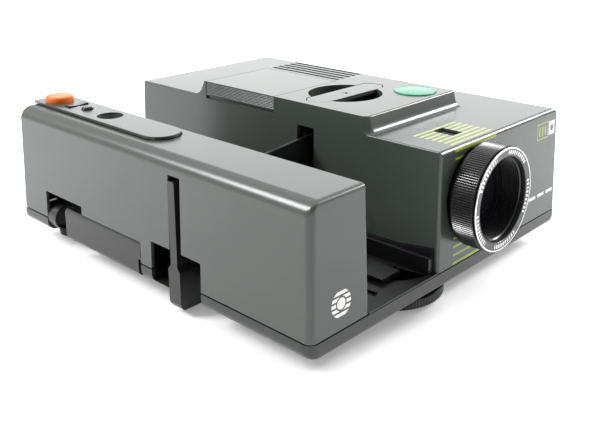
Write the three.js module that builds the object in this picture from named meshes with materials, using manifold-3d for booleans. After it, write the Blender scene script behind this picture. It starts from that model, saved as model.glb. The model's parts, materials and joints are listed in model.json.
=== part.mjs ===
// Slide projector for straight 50 x 50 mm slide trays: a wide lamp and lens housing, an open
// tray channel and a narrow changer housing, all on one base tray. Millimetres, +Z up, the
// lens faces -Y and the lamp housing is on the +X side. Every sub-part is placed in plan
// coordinates: x from the outer changer wall, y from the front, z from the base seam.
import * as THREE from "three";
import { mergeVertices } from "three/addons/utils/BufferGeometryUtils.js";
import Module from "manifold-3d";

const wasm = await Module();
wasm.setup();

// Driving dimensions.
const BODY_W = 254.8; // whole width
const BODY_D = 286; // depth of the lamp housing
const CHANGER_W = 45.5; // width of the changer housing
const CHANGER_D = 280; // depth of the changer housing
const LAMP_X = 109.6; // left wall of the lamp housing; the tray channel lies between
const COVER_H = 74.4; // cover height above the seam
const DECK_H = 85.4; // height of the raised deck
const DRAFT = 0.022; // wall slope of both covers
const WALL = 2.5;
const GAP = 0.3; // running clearance between neighbouring pieces
const BASE_H = 10; // depth of the base tray below the seam
const TABLE = -22; // level the feet stand on
const SLIDE = 50; // slide mount size
const AXIS_X = 146.7; // optical axis
const AXIS_Z = 41.8;
const GATE_Y = 107.5; // plane of the projected slide
const RING_R = 31.7; // front rim of the lens
const RING_FRONT = -19.9;
const FOOT = { x: 110, y: 36, r: 34 };
const DISH = { x: 151.5, y: 107.5, r: 25.5, floor: 76.5 };
const GRIP = { x0: 118.6, x1: 188, w: 17.4 };
const POWER = { x: 188.2, y: 75.5, r: 14.4 };
const LID = { x1: 175, y0: 137, y1: 207, z0: 75.5 };
const PANEL = { x0: 14, x1: 39, y0: 137.4, y1: 281.4, top: 76.4 };
const TRIGGER = { x: 26.2, y: 266.4, r: 9.7 };
const ROCKER = { x: 27, y: 245.6, w: 15.6, d: 5.6 };
const REVERSE = { x: 26.3, y: 231, r: 4 };
const SOCKET = { x: 26.6, y: 204.4, r: 8.6 };
const TRAY_GEAR = { x: 95.4, y: 92 };
const PINION = { x: 35.2, z: 6.4, tip: 7.2 }; // rolls under the rack of the pusher plate

const root = new THREE.Group();
root.name = "slide_projector";
root.position.set(-BODY_W / 2, -(RING_FRONT + BODY_D) / 2, -TABLE);

// ---------- materials ----------
const finish = (color, roughness, metalness = 0) => ({ color, roughness, metalness });
const COVER_GREY = finish("#5d625f", 0.42);
const BASE_GREY = finish("#4c4f4c", 0.5);
const DARK_GREY = finish("#3b3d3d", 0.45);
const BLACK = finish("#17181a", 0.4);
const RUBBER = finish("#141414", 0.9);
const STEEL = finish("#9a9c9e", 0.35, 1);
const ALUMINIUM = finish("#c4c6c8", 0.3, 1);
const ORANGE = finish("#f07a2a", 0.3);
const GREEN = finish("#5fd6b4", 0.2);
const GLASS = finish("#cfe0e6", 0.05);
const BOARD = finish("#1f5a3a", 0.5);
const COPPER = finish("#a6562c", 0.4, 1);
const IVORY = finish("#d8d2c4", 0.6);

// ---------- solids ----------
function solid(geometry) {
  geometry.deleteAttribute("normal");
  geometry.deleteAttribute("uv");
  const merged = mergeVertices(geometry, 1e-4);
  return new wasm.Manifold(
    new wasm.Mesh({
      numProp: 3,
      vertProperties: merged.attributes.position.array,
      triVerts: new Uint32Array(merged.index.array),
    }),
  );
}

function add(name, shape, look) {
  const made = shape.getMesh();
  const geometry = new THREE.BufferGeometry();
  geometry.setAttribute("position", new THREE.BufferAttribute(made.vertProperties, 3));
  geometry.setIndex(new THREE.BufferAttribute(made.triVerts, 1));
  geometry.computeVertexNormals();
  const mesh = new THREE.Mesh(geometry, new THREE.MeshStandardMaterial(look));
  mesh.name = name;
  root.add(mesh);
}

const join = (...shapes) => shapes.reduce((a, b) => a.add(b));
const cut = (shape, ...tools) => tools.reduce((a, b) => a.subtract(b), shape);

function box(x0, x1, y0, y1, z0, z1) {
  const geometry = new THREE.BoxGeometry(x1 - x0, y1 - y0, z1 - z0);
  return solid(geometry.translate((x0 + x1) / 2, (y0 + y1) / 2, (z0 + z1) / 2));
}

// A round bar along one axis, from a to b, centred on the other two coordinates p and q.
function rod(axis, r, a, b, p, q, sides = 32, rEnd = r) {
  const geometry = new THREE.CylinderGeometry(rEnd, r, b - a, sides);
  const middle = (a + b) / 2;
  if (axis === "x") return solid(geometry.rotateZ(-Math.PI / 2).translate(middle, p, q));
  if (axis === "y") return solid(geometry.translate(p, middle, q));
  return solid(geometry.rotateX(Math.PI / 2).translate(p, q, middle));
}

// A body of revolution about the optical axis; the profile lists [radius, y].
function turned(profile, sides = 40) {
  const points = profile.map(([r, y]) => new THREE.Vector2(r, y));
  return solid(new THREE.LatheGeometry(points, sides).translate(AXIS_X, 0, AXIS_Z));
}

const tube = (r1, r0, y0, y1, sides = 40) =>
  turned([[r0, y0], [r1, y0], [r1, y1], [r0, y1], [r0, y0]], sides);

// An outline with rounded corners; each corner is [u, v, radius].
function outline(corners, steps = 4) {
  const points = [];
  corners.forEach(([u, v, r = 0], i) => {
    const here = new THREE.Vector2(u, v);
    const before = corners[(i + corners.length - 1) % corners.length];
    const after = corners[(i + 1) % corners.length];
    const back = new THREE.Vector2(before[0], before[1]).sub(here).normalize();
    const ahead = new THREE.Vector2(after[0], after[1]).sub(here).normalize();
    if (r === 0) {
      points.push(here);
      return;
    }
    const half = Math.acos(THREE.MathUtils.clamp(back.dot(ahead), -1, 1)) / 2;
    const inset = r / Math.tan(half);
    const middle = back.clone().add(ahead).normalize();
    const centre = here.clone().addScaledVector(middle, r / Math.sin(half));
    const start = here.clone().addScaledVector(back, inset).sub(centre);
    const end = here.clone().addScaledVector(ahead, inset).sub(centre);
    const turn = Math.atan2(start.cross(end), start.dot(end));
    for (let k = 0; k <= steps; k++) {
      points.push(start.clone().rotateAround(new THREE.Vector2(), (turn * k) / steps).add(centre));
    }
  });
  return new THREE.Shape(points);
}

// A round outline with square teeth, for gears and grip rims.
function toothed(teeth, tip, root, u, v) {
  const points = [];
  for (let i = 0; i < teeth * 4; i++) {
    const r = i % 4 < 2 ? tip : root;
    const a = ((i - 0.5) / (teeth * 4)) * 2 * Math.PI;
    points.push(new THREE.Vector2(u + r * Math.cos(a), v + r * Math.sin(a)));
  }
  return new THREE.Shape(points);
}

const extrude = (shape, depth) =>
  new THREE.ExtrudeGeometry(shape, { depth, bevelEnabled: false, curveSegments: 8 });

// Prisms: along z from a plan outline (x, y), along y from (x, z), along x from (y, z).
const alongZ = (shape, z0, z1) => solid(extrude(shape, z1 - z0).translate(0, 0, z0));
const alongY = (shape, y0, y1) =>
  solid(extrude(shape, y1 - y0).rotateX(Math.PI / 2).translate(0, y1, 0));
const alongX = (shape, x0, x1) =>
  solid(extrude(shape, x1 - x0).rotateY(Math.PI / 2).rotateX(Math.PI / 2).translate(x0, 0, 0));

function rectangle(x0, x1, y0, y1, radii) {
  const [fl, fr, br, bl] = typeof radii === "number" ? [radii, radii, radii, radii] : radii;
  return [[x0, y0, fl], [x1, y0, fr], [x1, y1, br], [x0, y1, bl]];
}

// A plan outline whose top end is drawn in by the wall draft.
function tapered(corners, z0, z1, slope = DRAFT) {
  const geometry = extrude(outline(corners), z1 - z0).translate(0, 0, z0);
  geometry.computeBoundingBox();
  const { min, max } = geometry.boundingBox;
  const position = geometry.attributes.position;
  for (let i = 0; i < position.count; i++) {
    const drawn = slope * (position.getZ(i) - z0);
    const u = (position.getX(i) - min.x) / (max.x - min.x);
    const v = (position.getY(i) - min.y) / (max.y - min.y);
    position.setX(i, position.getX(i) + drawn * (1 - 2 * u));
    position.setY(i, position.getY(i) + drawn * (1 - 2 * v));
  }
  return solid(geometry);
}

// A drafted housing: plan corner radii, then the four top edge radii.
function housing({ x0, x1, y0, y1, z0, z1, corners, left, right, front, back }) {
  const lean = DRAFT * (z1 - z0);
  const plan = tapered(rectangle(x0, x1, y0, y1, corners), z0, z1);
  const across = outline([[x0, z0], [x1, z0], [x1 - lean, z1, right], [x0 + lean, z1, left]]);
  const along = outline([[y0, z0], [y1, z0], [y1 - lean, z1, back], [y0 + lean, z1, front]]);
  return plan.intersect(alongY(across, y0 - 1, y1 + 1)).intersect(alongX(along, x0 - 1, x1 + 1));
}

// ---------- base ----------
function baseTray() {
  const slim = rectangle(0, BODY_W, 0, BODY_D, [7, 1.5, 1.5, 1.5]);
  const floor = -BASE_H + 3;
  const sole = outline(rectangle(3, BODY_W - 3, 3, BODY_D - 3, 5));
  let tray = join(alongZ(outline(slim), -BASE_H + 2, -GAP / 2), alongZ(sole, -BASE_H, -BASE_H + 2.5));
  tray = cut(tray, box(-1, CHANGER_W, CHANGER_D, BODY_D + 1, -20, 1));
  tray = cut(
    tray,
    box(3, CHANGER_W - 3, 3, CHANGER_D - 3, floor, 1),
    box(CHANGER_W, LAMP_X, 3, BODY_D - 3, floor, 1),
    box(LAMP_X + 3, BODY_W - 3, 3, BODY_D - 3, floor, 1),
  );
  tray = cut(tray, box(-1, 25, 86, 114.2, -20, 1), box(-1, 5, 84, 114.2, -20, 1));
  tray = cut(tray, box(-1, 25, 114, 129.4, -7.4, 1));
  tray = cut(tray, box(-1, 8.2, 140.4, 249.4, -20, 1), box(8, 42, 140.4, 251.4, -20, 1));
  tray = cut(tray, rod("z", 7.4, -20, 1, FOOT.x, FOOT.y, 24));
  for (let i = 0; i < 7; i++) {
    tray = cut(tray, box(122, 170, 166 + 6 * i, 169 + 6 * i, -20, 1));
  }
  return tray;
}

// The low arch in the left wall of the lamp cover, drawn in by an inset; the channel fills it.
const archway = (inset) => [
  [3.2 + inset, inset ? 0.3 : -2],
  [282 - inset, inset ? 0.3 : -2],
  [282 - inset, 10.6 - inset],
  [120, 10.6 - inset],
  [52, 11.2 - inset],
  [27, 12.4 - inset],
  [3.2 + inset, 16 - inset],
];

function trayChannel() {
  const x0 = CHANGER_W + GAP;
  const x1 = LAMP_X - GAP;
  const floor = box(x0, x1, 3.3, BODY_D - 3.3, -BASE_H + 3.3, 0);
  const lip = join(box(x0, x1, 0.2, 3.8, 0.1, 1.1), box(x0, x1, 3.3, 3.8, -1, 1.1));
  const ledge = box(x1 - 4.4, x1, 3.3, BODY_D - 4, -1, 9.6);
  const rim = box(x1 - 4.4, x1 - 3.2, 3.3, BODY_D - 4, 9, 10.6);
  const flange = alongX(outline(archway(GAP + 0.1)), x1 - 0.6, x1 + 1.2);
  const rail = box(x0, x0 + 2.4, 3.3, BODY_D - 4, -1, 9);
  const plateau = box(78, 95, 16.5, 84, -1, 3);
  const step = box(84, 101, 24, 78, -1, 1.6);
  const guides = [56, 66].map((x) => box(x, x + 2, 12, 270, -1, 1.4));
  const gearWell = rod("z", 9.2, -5, 3, TRAY_GEAR.x, TRAY_GEAR.y, 24);
  const bushing = rod("z", 7, -20, -1.2, FOOT.x, FOOT.y, 24);
  const shape = join(floor, lip, ledge, rim, flange, rail, plateau, step, ...guides);
  return cut(shape, gearWell, bushing);
}

const rearFoot = (x, y) => rod("z", 9, TABLE, -BASE_H - GAP, x, y, 28, 11);

function footWheel() {
  const wheel = alongZ(toothed(30, FOOT.r, FOOT.r - 1.1, FOOT.x, FOOT.y), TABLE + 3.4, TABLE + 9.6);
  const under = rod("z", FOOT.r - 5.5, TABLE + 1.6, TABLE + 3.5, FOOT.x, FOOT.y, 48, FOOT.r - 1.4);
  const stem = rod("z", 6, TABLE + 9, -1.5, FOOT.x, FOOT.y, 24);
  const bossGap = rod("z", FOOT.r - 6, TABLE + 7.6, TABLE + 12, FOOT.x, FOOT.y, 40);
  const hub = rod("z", 9, TABLE + 7, TABLE + 9.6, FOOT.x, FOOT.y, 24);
  return join(cut(join(wheel, under), bossGap), hub, stem);
}

const footPad = () => rod("z", FOOT.r - 7, TABLE, TABLE + 1.3, FOOT.x, FOOT.y, 40);

// ---------- changer housing ----------
const changerBlock = (inset) =>
  housing({
    x0: inset,
    x1: CHANGER_W - inset,
    y0: inset,
    y1: CHANGER_D - inset,
    z0: inset ? -2 : GAP / 2,
    z1: COVER_H - inset,
    corners: [7 - inset, 2, 2, inset ? 0 : 1.5],
    left: 12 - inset,
    right: inset ? 0 : 1.2,
    front: 3,
    back: inset ? 0 : 1.2,
  });

function changerCover() {
  const cavity = changerBlock(WALL);
  let cover = cut(changerBlock(0), cavity);
  cover = cut(
    cover,
    box(-1, 12, 101, 111.4, -1, 63.5), // lever slot
    box(-1, 12, 84, 129.4, -1, 18), // finger opening
    box(-1, 12, 140.4, 226.3, -1, 14), // handle opening
    box(-1, 12, 205, 249.3, -1, 19.6), // finger notch
    box(36, 50, GATE_Y - 3, GATE_Y + 3, 11, 67), // pusher slot in the channel wall
    box(PANEL.x0 + 1.6, PANEL.x1 - 2, PANEL.y0 + 4, CHANGER_D - 3.4, 60, 80),
  );
  return cover;
}

// A dark shell behind the lever and handle openings, so no view runs into the housing.
function gripLiner() {
  const y0 = 86;
  const y1 = 128;
  const liner = cut(
    join(box(12.4, 27.4, y0, y1, -6, 22), box(12.4, 27.4, 99.4, 113.4, 20, 66)),
    box(10, 25.4, y0 + 1.6, y1 - 1.6, -7, 20.4),
    box(10, 25.4, 101, 111.8, 18, 64.4),
    box(20, 30, GATE_Y - 3, GATE_Y + 3.2, 12, 64.4),
  );
  return liner;
}

function handleLiner() {
  const shell = box(8.6, 41.6, 141, 251, -9.4, 22.6);
  return cut(shell, box(7, 40, 142.6, 249.4, -12, 21));
}

function changerArm() {
  const blade = alongX(outline([[105, 4], [111, 4], [111, 60.6, 2.2], [105, 60.6, 1.2]]), 0.5, 11.5);
  const low = [[102.8, -19.6, 2.4], [113.4, -19.6, 2.4], [113.4, 6, 0.5]];
  const neck = [[111, 9], [105, 9], [102.8, 6, 0.5]];
  const grip = alongX(outline([...low, ...neck]), 0.3, 19);
  const keep = alongY(outline([[0.2, -19.7, 6.5], [19.2, -19.7], [19.2, 12], [0.2, 12]], 6), 100, 116);
  const carriage = box(11, 30, 105, 110.2, 16, 58);
  return join(blade, grip.intersect(keep), carriage);
}

function pusherPlate() {
  const x0 = 30.4;
  const x1 = AXIS_X - SLIDE / 2 - 2;
  const teeth = [];
  for (let x = x0 + 2; x < x1 - 10; x += 3) {
    teeth.push([x, 13.9], [x + 1.5, 13.9], [x + 1.9, 15.3], [x + 2.6, 15.3]);
  }
  const edge = [...teeth, [x1 - 6, 18], [x1, 20, 2], [x1, 64, 1], [x0 + 16, 57.6], [x0, 56, 2], [x0, 13.9]];
  const plate = alongY(outline(edge), GATE_Y - 1.2, GATE_Y + 1.2);
  return join(plate, box(x1 - 3, x1, GATE_Y - 1.6, GATE_Y + 1.6, 24, 50));
}

const rackPinion = () =>
  join(
    alongY(toothed(14, PINION.tip, PINION.tip - 1.4, PINION.x, PINION.z), GATE_Y - 3, GATE_Y + 3),
    rod("y", 2.4, GATE_Y - 6, GATE_Y + 6, PINION.x, PINION.z, 16),
  );

function carryHandle() {
  const plate = cut(box(0.4, 4.4, 141, 226, -9.4, 13), box(-1, 9, 140, 143.4, -12, 2.2));
  const edge = alongY(outline([[0.4, -9.4, 3.4], [6, -9.4], [6, 14], [2.4, 14], [0.4, 10.5]]), 140, 227);
  const lug = rod("y", 2.9, 141, 147, 3.1, 5.6, 24);
  const arms = [144.4, 214].map((y) => box(4, 38.6, y, y + 8, -4, 8));
  const back = box(36, 38.6, 144.4, 222, -4, 8);
  return join(plate.intersect(edge), lug, ...arms, back);
}

function handleBoss() {
  const body = rod("y", 9.1, 239.6, 249, 9.3, 0.3, 36);
  const dish = rod("y", 7.7, 236, 243, 9.3, 0.3, 36);
  const stem = box(12, 18, 243.5, 249, -7, 2);
  return join(cut(body, dish), stem);
}

// ---------- control panel ----------
function controlPanel() {
  const { x0, x1, y0, y1, top } = PANEL;
  const plate = alongZ(outline(rectangle(x0, x1, y0, y1, [12.4, 12.4, 2, 2]), 8), COVER_H + GAP, top);
  const skirt = box(x0 + 1.9, x1 - 2.3, y0 + 4.3, 254, 70, COVER_H + 1);
  const inside = box(x0 + 3.2, x1 - 3.6, y0 + 6, 252.6, 69, COVER_H + 0.6);
  return cut(
    join(plate, skirt),
    inside,
    rod("z", TRIGGER.r + GAP, 60, 90, TRIGGER.x, TRIGGER.y, 36),
    box(
      ROCKER.x - ROCKER.w / 2 - GAP,
      ROCKER.x + ROCKER.w / 2 + GAP,
      ROCKER.y - ROCKER.d / 2 - GAP,
      ROCKER.y + ROCKER.d / 2 + GAP,
      60,
      90,
    ),
    rod("z", REVERSE.r + GAP, 60, 90, REVERSE.x, REVERSE.y, 24),
    rod("z", SOCKET.r, 60, 90, SOCKET.x, SOCKET.y, 36),
  );
}

// A push button: cap with a drawn-in top edge and a stem down to its switch.
const pushButton = ({ x, y, r }, z0, top) =>
  join(
    rod("z", r, z0 + 2, top - 1.2, x, y, 36),
    rod("z", r, top - 1.25, top, x, y, 36, r - 1.2),
    rod("z", r * 0.4, z0, z0 + 2.5, x, y, 16),
  );

function focusRocker() {
  const { x, y, w, d } = ROCKER;
  const cap = alongY(
    outline([
      [x - w / 2, 74.4],
      [x, 72.4],
      [x + w / 2, 74.4],
      [x + w / 2, 77.6, 0.8],
      [x, 76.8],
      [x - w / 2, 77.6, 0.8],
    ]),
    y - d / 2,
    y + d / 2,
  );
  return join(cap, box(x - 1.2, x + 1.2, y - d / 2, y + d / 2, 69.6, 74));
}

function remoteSocket() {
  const { x, y, r } = SOCKET;
  const cup = rod("z", r - GAP, 68.6, PANEL.top - 0.5, x, y, 36);
  const dish = rod("z", r - 4.2, 72.6, 80, x, y, 32, r + 5.5);
  const bore = rod("z", 3.9, 69.8, 80, x, y, 24);
  return cut(cup, dish, bore);
}

const panelBoard = () =>
  cut(
    box(PANEL.x0 + 4.4, PANEL.x1 - 5, PANEL.y0 + 8, PANEL.y1 - 8, 63.8, 65.2),
    rod("z", 2.6, 60, 70, 25, 180, 12),
  );

function driveMotor() {
  const can = rod("y", 11.5, 152, 186, 22, 50, 32);
  const nose = rod("y", 4, 149, 152.2, 22, 50, 20);
  const foot0 = box(11.5, 32.5, 156, 182, 24, 40);
  const saddle = box(14, 30, 150, 190, 36.9, 40).intersect(foot0);
  return join(can, nose, cut(foot0, box(14, 30, 150, 190, 26.5, 37)), saddle);
}

// ---------- lamp housing ----------
function lampBlock(inset) {
  const x0 = LAMP_X + inset;
  const x1 = BODY_W - inset;
  const body = housing({
    x0,
    x1,
    y0: inset,
    y1: BODY_D - inset,
    z0: inset ? -2 : GAP / 2,
    z1: COVER_H - inset,
    corners: [2, 1.5, 1.5, 2],
    left: inset ? 0 : 1,
    right: inset ? 3.5 : 6,
    front: 3,
    back: 3,
  });
  const top = DECK_H - inset;
  const low = COVER_H - inset - 3;
  const slope = outline([
    [50 + inset, low],
    [224 - inset, low],
    [221 - inset, COVER_H - inset],
    [216 - inset, 76.4 - inset],
    [212.4 - inset, 80.4 - inset],
    [210 - inset, top, 1],
    [56.6 + inset, top, 1.4],
    [55.8 + inset, 80.2 - inset],
    [54.4 + inset, 76.8 - inset],
    [51 + inset, COVER_H - inset],
  ]);
  const deck = alongX(slope, x0 - 1, 213 - inset);
  const lean = DRAFT * COVER_H;
  const side = outline([
    [x0, low],
    [216, low],
    [214.6, COVER_H - inset],
    [212.4, 77.6 - inset],
    [210.8, top, 1.4],
    [x0 + lean + DRAFT * 11, top, 0.8],
    [x0 + lean, COVER_H - inset],
  ]);
  const plan = alongZ(outline(rectangle(x0, 216, 51, 230, [9, 3, 0, 0])), low - 1, top + 1);
  return join(body, deck.intersect(alongY(side, 40, 240)).intersect(plan));
}

// The grip bar of the gate insert, a long octagon, grown by a clearance for its seat.
function gripOutline(grow) {
  const half = GRIP.w / 2 + grow;
  const [x0, x1] = [GRIP.x0 - grow, GRIP.x1 + grow];
  const near = GATE_Y + 1 - half;
  const far = GATE_Y + 1 + half;
  return [
    [x0, near + 4.4],
    [x0 + 5, near],
    [x1 - 5, near],
    [x1, near + 4.4],
    [x1, far - 4.4],
    [x1 - 5, far],
    [x0 + 5, far],
    [x0, far - 4.4],
  ];
}

const lampOuter = lampBlock(0);

const lidRoom = (grow) =>
  box(LAMP_X - 5, LID.x1 + grow, LID.y0 - grow, LID.y1 + grow, LID.z0 - grow, DECK_H + 5);

function lampCover() {
  let cover = cut(lampOuter, lampBlock(WALL));
  const cup = rod("z", DISH.r + 2.5, DISH.floor - 2, DECK_H - 1, DISH.x, DISH.y, 48);
  const pads = box(GRIP.x0 - 2.5, GRIP.x1 + 2.5, GATE_Y - 11.2, GATE_Y + 11.2, 80, DECK_H - 1);
  cover = join(cover, cup, pads);
  cover = cut(
    cover,
    rod("z", DISH.r, DISH.floor, 100, DISH.x, DISH.y, 48),
    alongZ(outline(gripOutline(GAP)), 82.2, 100),
    box(126.4, 177, GATE_Y - 2.6, GATE_Y + 2.6, 60, 90),
    rod("z", POWER.r + GAP, 60, 100, POWER.x, POWER.y, 48),
    box(145.2, 155.7, 16.3, 31, 60, 90),
    rod("y", 26.2, -5, 10, AXIS_X, AXIS_Z, 48),
    box(100, 116, 99.6, 114.7, 8, 70),
    lidRoom(GAP),
    box(100, LAMP_X + 6, LID.y0, LID.y1, 72.6, 77),
  );
  cover = cut(cover, alongX(outline(archway(0)), 100, LAMP_X + 4));
  for (let i = 0; i < 5; i++) {
    cover = cut(cover, box(179 + 6.2 * i, 182.2 + 6.2 * i, 138.5, 206.4, 70, 100));
  }
  for (let i = 0; i < 9; i++) {
    cover = cut(cover, box(245, 260, 194 + 7.5 * i, 197.5 + 7.5 * i, 14, 58));
  }
  for (let i = 0; i < 6; i++) {
    cover = cut(cover, box(130 + 12 * i, 138 + 12 * i, 275, 290, 40, 43.5));
    cover = cut(cover, box(130 + 12 * i, 138 + 12 * i, 275, 290, 48, 51.5));
  }
  return cut(cover, box(214.7, 243.3, 275, 290, 7.7, 29.3));
}

function lampLid() {
  const room = box(LAMP_X - 5, LID.x1, LID.y0, LID.y1, LID.z0, DECK_H + 5);
  const inner = box(LAMP_X + 4.6, LID.x1 - 2, LID.y0 - 1, LID.y1 + 1, 70, DECK_H - 2.4);
  let lid = cut(lampOuter.intersect(room), inner);
  for (let i = 0; i < 8; i++) {
    const z = LID.z0 + 0.9 + 1.08 * i;
    lid = cut(lid, box(LAMP_X - 1, LAMP_X + 2.1, LID.y0 - 1, LID.y1 + 1, z, z + 0.5));
  }
  return lid;
}

function gateInsert() {
  const bar = outline(gripOutline(0));
  const cap = alongZ(bar, 82.6, DECK_H - 0.1);
  const mark = alongZ(
    outline([[150, GATE_Y - 2.4], [154.4, GATE_Y], [150, GATE_Y + 2.4], [151.4, GATE_Y]]),
    DECK_H - 0.7,
    DECK_H + 1,
  );
  const web = box(128, 175.8, GATE_Y - 1.2, GATE_Y + 1.2, 70.4, 82.8);
  const rail = box(172.6, 175.8, GATE_Y - 1.2, GATE_Y + 1.2, 13.6, 71);
  const ledge = box(127.2, 175.8, GATE_Y - 1.2, GATE_Y + 1.2, 13.6, 16.6);
  return join(cut(cap, mark), web, rail, ledge);
}

function powerButton() {
  const { x, y, r } = POWER;
  const z = DECK_H;
  const side = [[0, 78], [r - 1, 78], [r, 79], [r, z + 0.5]];
  const dome = [[r - 0.6, z + 0.9], [r * 0.6, z + 1.15], [0, z + 1.2]];
  const points = [...side, ...dome].map(([u, v]) => new THREE.Vector2(u, v));
  return solid(new THREE.LatheGeometry(points, 48).rotateX(Math.PI / 2).translate(x, y, 0));
}

const indicatorWindow = () =>
  cut(box(145.5, 155.4, 16.6, 30.7, 71.8, COVER_H - 0.9), box(149.4, 151.4, 19, 28, 73, 80));

// ---------- projection lens ----------
const lensHolder = () =>
  join(
    tube(28.8, 26, 6, 66),
    cut(box(136, 157.4, 20, 60, -6.6, AXIS_Z), rod("y", 27, 10, 70, AXIS_X, AXIS_Z, 48)),
  );

const lensBarrel = () =>
  turned([
    [23.6, -16.6],
    [27.6, -16.6],
    [27.6, -1.2],
    [25.6, -1.2],
    [25.6, 74],
    [16.4, 74],
    [16.4, 66.6],
    [24, 66.6],
    [24, 4.6],
    [22.4, 4.6],
    [22.4, -3.6],
    [23.6, -3.6],
    [23.6, -16.6],
  ]);

function focusRing() {
  const grip = alongY(toothed(48, RING_R + 0.5, RING_R - 0.3, AXIS_X, AXIS_Z), -17.8, -3.4);
  const neck = rod("y", 29.6, -18.3, -1.2, AXIS_X, AXIS_Z, 48);
  return cut(join(grip, neck), rod("y", 27.9, -30, 10, AXIS_X, AXIS_Z, 48));
}

const frontBezel = () =>
  turned([
    [24.6, -16.9],
    [24.6, RING_FRONT + 0.9],
    [25.4, RING_FRONT + 0.5],
    [RING_R - 0.5, RING_FRONT],
    [RING_R, RING_FRONT + 0.4],
    [RING_R, -18.6],
    [26.9, -18.6],
    [26.9, -16.9],
    [24.6, -16.9],
  ]);

const glassDisc = (r, y0, y1, bulge) => {
  const front = [[0, y0 - bulge], [r * 0.5, y0 - bulge * 0.75], [r, y0]];
  const back = [[r, y1], [r * 0.5, y1 + bulge * 0.75], [0, y1 + bulge]];
  return turned([...front, ...back]);
};

// ---------- optics behind the slide ----------
function gateFrame() {
  const sheet = (y) => box(116, 180, y, y + 1.6, 6, 72);
  const aperture = box(AXIS_X - 18.5, AXIS_X + 18.5, 90, 125, AXIS_Z - 18.5, AXIS_Z + 18.5);
  const bottom = box(116, 180, 103.4, 111.6, -6.6, 10);
  const end = box(178.2, 180, 103.4, 111.6, 6, 72);
  return join(cut(join(sheet(103.4), sheet(110)), aperture), bottom, end);
}

function opticsCarrier() {
  const trough = box(118, 175.4, 118, 160, -6.6, 44);
  const room = box(121, 172.4, 119.6, 158.4, 10, 60);
  const bores = rod("y", 20, 110, 170, AXIS_X, AXIS_Z, 40);
  return cut(trough, room, bores);
}

function lampHouse() {
  const shell = box(117.6, 176, 162, 208, -6.6, 70);
  return cut(
    shell,
    box(119, 174.6, 163.4, 206.6, -3, 80),
    rod("y", 21, 150, 170, AXIS_X, AXIS_Z, 40),
    box(170, 180, 168, 202, 14, 62),
  );
}

const lampSocket = () => cut(box(136, 157.4, 176, 188, -2.6, 19.6), box(142, 151.4, 179, 185, 16, 30));

function lampBulb() {
  const points = [[0, 20], [4.2, 20], [5.6, 26], [6.4, 34], [6.4, 44], [5, 49], [1.6, 51.6], [0, 52]];
  const glass = solid(
    new THREE.LatheGeometry(points.map(([r, z]) => new THREE.Vector2(r, z)), 28)
      .rotateX(Math.PI / 2)
      .translate(AXIS_X, 182, 0),
  );
  return join(glass, box(AXIS_X - 3.6, AXIS_X + 3.6, 180.4, 183.6, 18.6, 22));
}

function reflector() {
  const mirror = [[0, 203], [10, 201.4], [18, 197], [23, 190.6]];
  const back = [[24.4, 190.6], [19, 198.4], [10.6, 203], [0, 204.8]];
  const dish = turned([...mirror, ...back], 40);
  const stalk = box(AXIS_X - 4, AXIS_X + 4, 203.6, 206.2, -2.6, AXIS_Z);
  return join(dish, stalk, box(AXIS_X - 9, AXIS_X + 9, 190, 206.2, -2.6, 0));
}

// ---------- fan, power supply and electronics ----------
const FAN = { x: 226, y: 226, z: 36 };

function fanFrame() {
  const plate = box(FAN.x, FAN.x + 18, FAN.y - 34, FAN.y + 34, -6.6, 70);
  const bore = rod("x", 30.5, FAN.x - 1, FAN.x + 20, FAN.y, FAN.z, 40);
  const arms = [[32, 2], [2, 32]].map(([y, z]) =>
    box(FAN.x, FAN.x + 2, FAN.y - y, FAN.y + y, FAN.z - z, FAN.z + z),
  );
  const hub = rod("x", 8, FAN.x, FAN.x + 3, FAN.y, FAN.z, 24);
  return join(cut(plate, bore), ...arms, hub);
}

function fanWheel() {
  const hub = rod("x", 9, FAN.x + 4, FAN.x + 16, FAN.y, FAN.z, 32);
  const blades = [];
  for (let i = 0; i < 7; i++) {
    const blade = new THREE.BoxGeometry(9, 1.4, 21).rotateZ(0.6).translate(0, 0, 18.2);
    blade.rotateX((i / 7) * 2 * Math.PI).translate(FAN.x + 10, FAN.y, FAN.z);
    blades.push(solid(blade));
  }
  return join(hub, ...blades);
}

function fanMotor() {
  const can = rod("x", 15, FAN.x - 22, FAN.x - 3, FAN.y, FAN.z, 32);
  return join(can, rod("x", 3, FAN.x - 4, FAN.x - GAP, FAN.y, FAN.z, 16));
}

function transformerCore() {
  const stack = box(192, 248, 40, 72, -6.6, 46);
  return cut(stack, box(201, 212, 30, 80, 3, 37), box(228, 239, 30, 80, 3, 37));
}

function transformerCoil() {
  const coil = alongZ(outline(rectangle(202, 238, 31, 81, 6)), 4, 36);
  return cut(coil, box(211.7, 228.3, 39.7, 72.3, 0, 50));
}

function circuitBoard() {
  const board = box(184, 248, 92, 162, 2, 3.6);
  const corners = [[188, 96], [244, 96], [188, 158], [244, 158]];
  const posts = corners.map(([x, y]) => rod("z", 2.4, -6.6, 2.4, x, y, 12));
  const chips = [[196, 108], [196, 126], [212, 144]].map(([x, y]) => box(x, x + 14, y, y + 8, 3, 7));
  const sink = box(228, 244, 104, 108, 3, 30);
  return join(board, ...posts, ...chips, sink);
}

const capacitor = (x, y, r, z1) => rod("z", r, 3.9, z1, x, y, 24);

function powerInlet() {
  const body = box(215, 243, 266, BODY_D - 1.4, 8, 29);
  const well = box(218, 240, 271, BODY_D + 1, 11.5, 25.5);
  const pins = [223.4, 229, 234.6].map((x) => box(x - 0.9, x + 0.9, 270, 280.5, 15.5, 21.5));
  return join(cut(body, well), ...pins);
}

const trayGear = () =>
  join(
    alongZ(toothed(14, 8.6, 7, TRAY_GEAR.x, TRAY_GEAR.y), -1.2, 4.6),
    rod("z", 2.4, -4.6, 6, TRAY_GEAR.x, TRAY_GEAR.y, 16),
  );

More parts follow.
